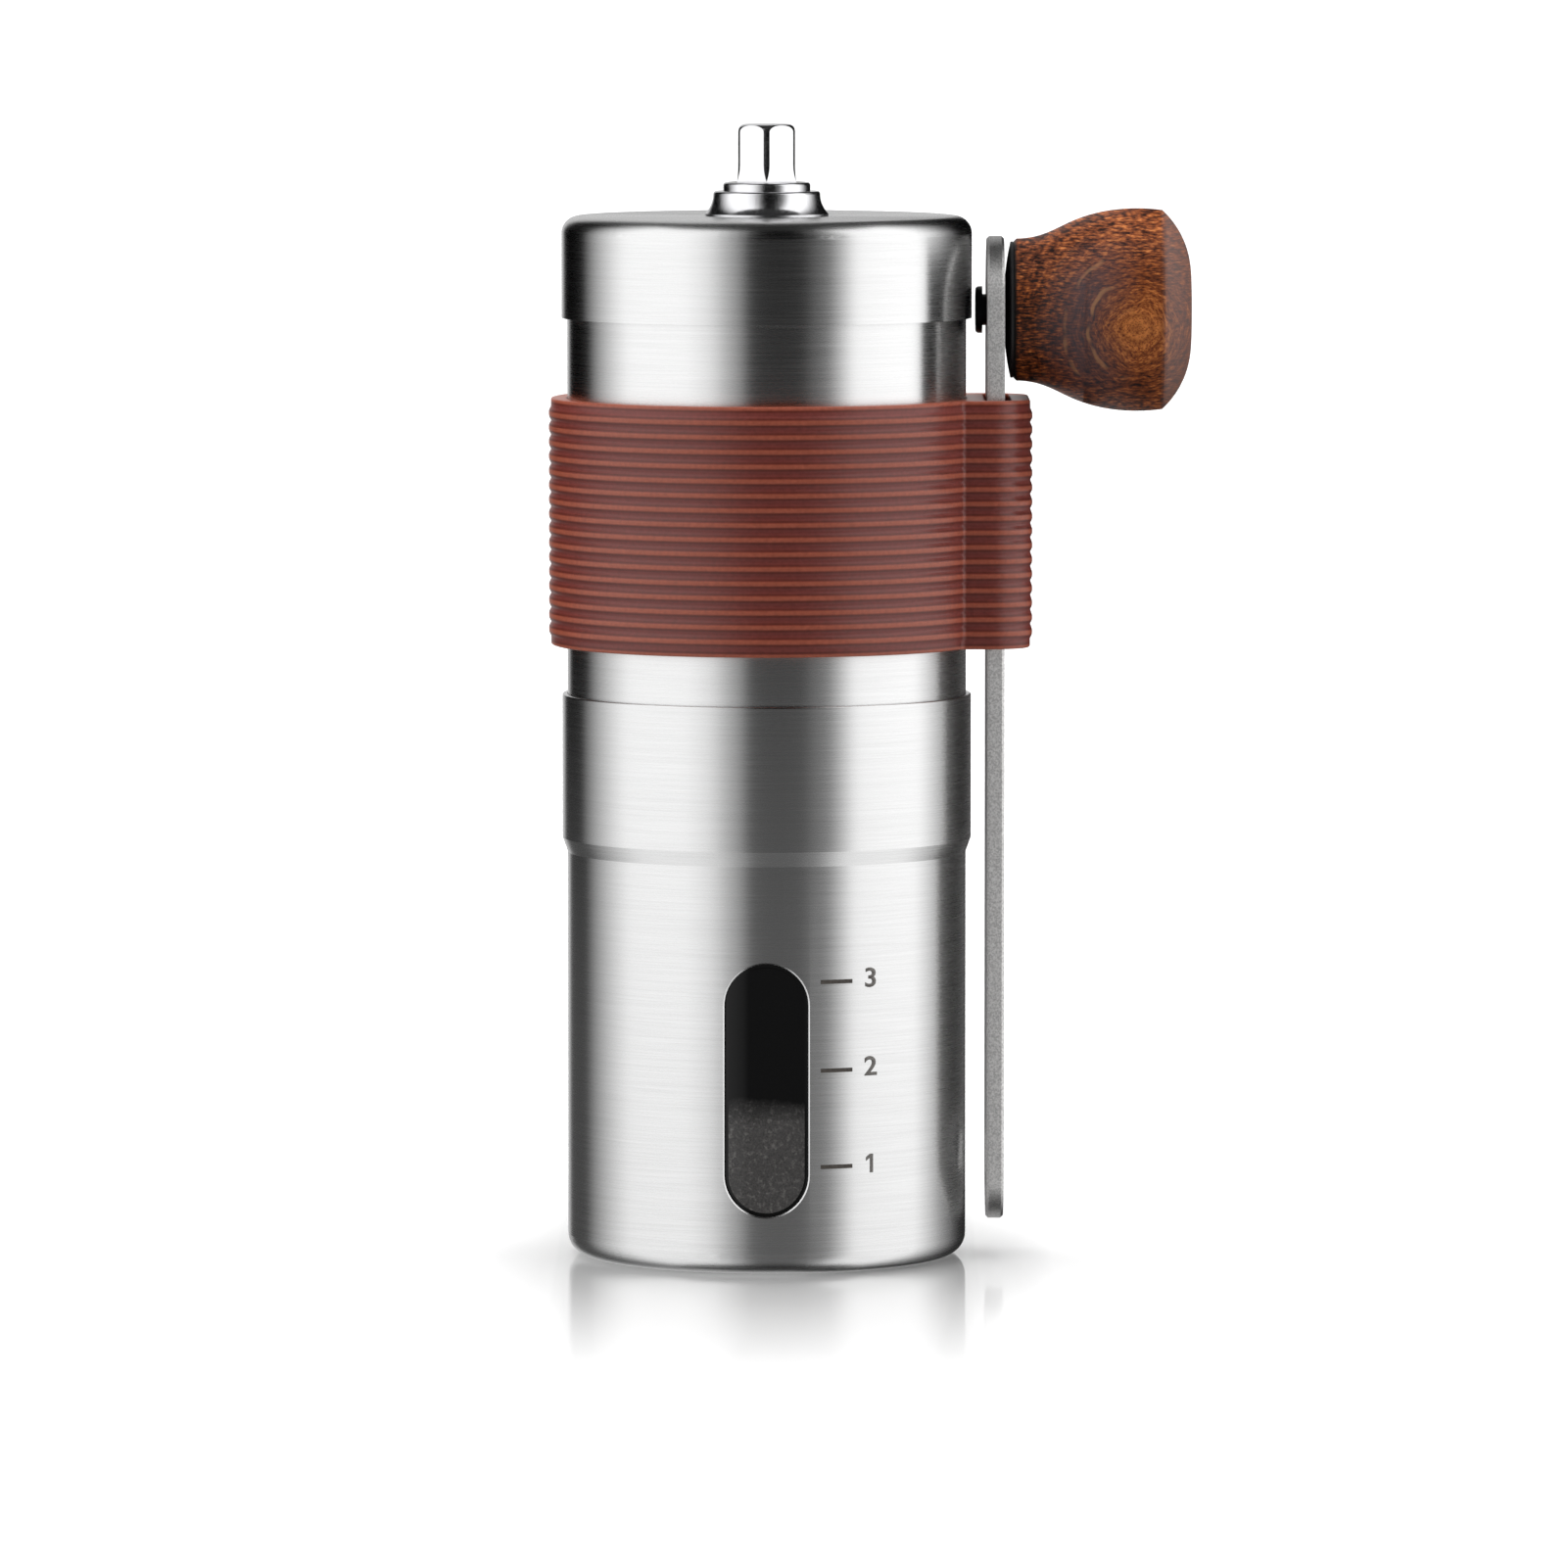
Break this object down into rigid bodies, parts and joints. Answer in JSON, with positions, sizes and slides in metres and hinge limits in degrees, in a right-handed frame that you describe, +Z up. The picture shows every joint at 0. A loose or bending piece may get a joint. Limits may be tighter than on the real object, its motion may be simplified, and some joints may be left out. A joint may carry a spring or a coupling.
{
  "type": "hand crank coffee grinder",
  "caption": "Slim hand coffee grinder: steel hopper on a steel catch cup with a window, ribbed sleeve that stows a straight crank, and a wooden knob.",
  "frame": {"origin": "centre of the cup's base, on the shaft's axis", "axes": "+Z up along the shaft, +X towards the stowed crank, -Y towards the window"},
  "size_m": [0.074, 0.0502, 0.1307],
  "materials": {
    "brushed_steel": "fine brushing round the body",
    "polished_steel": "polished",
    "arm_steel": "satin, lightly grained",
    "dark_steel": "blackened",
    "silicone": "satin, moulded",
    "walnut": "oiled, turned",
    "smoked_pane": "smoked, clear",
    "ceramic": "fine matt",
    "black_plastic": "moulded",
    "pale_plastic": "moulded",
    "brass": "turned",
    "spring_steel": "drawn wire"
  },
  "bodies": {
    "cup": {"cup_shell": "brushed_steel", "cup_window": "smoked_pane"},
    "hopper": {"hopper_tube": "brushed_steel", "grip_sleeve": "silicone", "burr_housing": "black_plastic", "outer_burr": "ceramic", "bearing_bridge": "black_plastic", "bridge_screws": "spring_steel", "bridge_bush": "pale_plastic"},
    "lid": {"lid_shell": "brushed_steel", "lid_collar": "polished_steel", "lid_bush": "pale_plastic"},
    "shaft": {"drive_shaft": "polished_steel", "thrust_washer": "spring_steel", "shaft_clip": "dark_steel", "spring_washer": "spring_steel", "burr_spring": "spring_steel"},
    "burr": {"inner_burr": "ceramic", "burr_core": "black_plastic"},
    "dial": {"adjust_dial": "black_plastic", "dial_insert": "brass"},
    "crank": {"crank_arm": "arm_steel"},
    "knob": {"wood_knob": "walnut", "knob_pin": "dark_steel", "knob_insert": "brass", "knob_washer": "black_plastic"}
  },
  "joints": [
    {"name": "hopper_lift", "type": "slide", "parent": "cup", "child": "hopper", "axis": [0, 0, 1], "range_m": [0, 0.03]},
    {"name": "lid_lift", "type": "slide", "parent": "hopper", "child": "lid", "axis": [0, 0, 1], "range_m": [0, 0.025]},
    {"name": "shaft_spin", "type": "hinge", "parent": "hopper", "child": "shaft", "pos_m": [0, 0, 0.069], "axis": [0, 0, 1], "continuous": true},
    {"name": "burr_travel", "type": "slide", "parent": "shaft", "child": "burr", "axis": [0, 0, 1], "range_m": [-0.001, 0.00042], "deforming": ["burr_spring"]},
    {"name": "dial_turn", "type": "hinge", "parent": "burr", "child": "dial", "pos_m": [0, 0, 0.045], "axis": [0, 0, 1], "range_deg": [-361, 151]},
    {"name": "crank_draw", "type": "slide", "parent": "hopper", "child": "crank", "axis": [0, 0, 1], "range_m": [-0.0015, 0.098]},
    {"name": "knob_spin", "type": "hinge", "parent": "crank", "child": "knob", "pos_m": [0.0264, 0, 0.10936], "axis": [1, 0, 0], "continuous": true}
  ],
  "couplings": [
    {"joint": "dial_turn", "follows": "burr_travel", "rad_per_m": 6283.2}
  ]
}
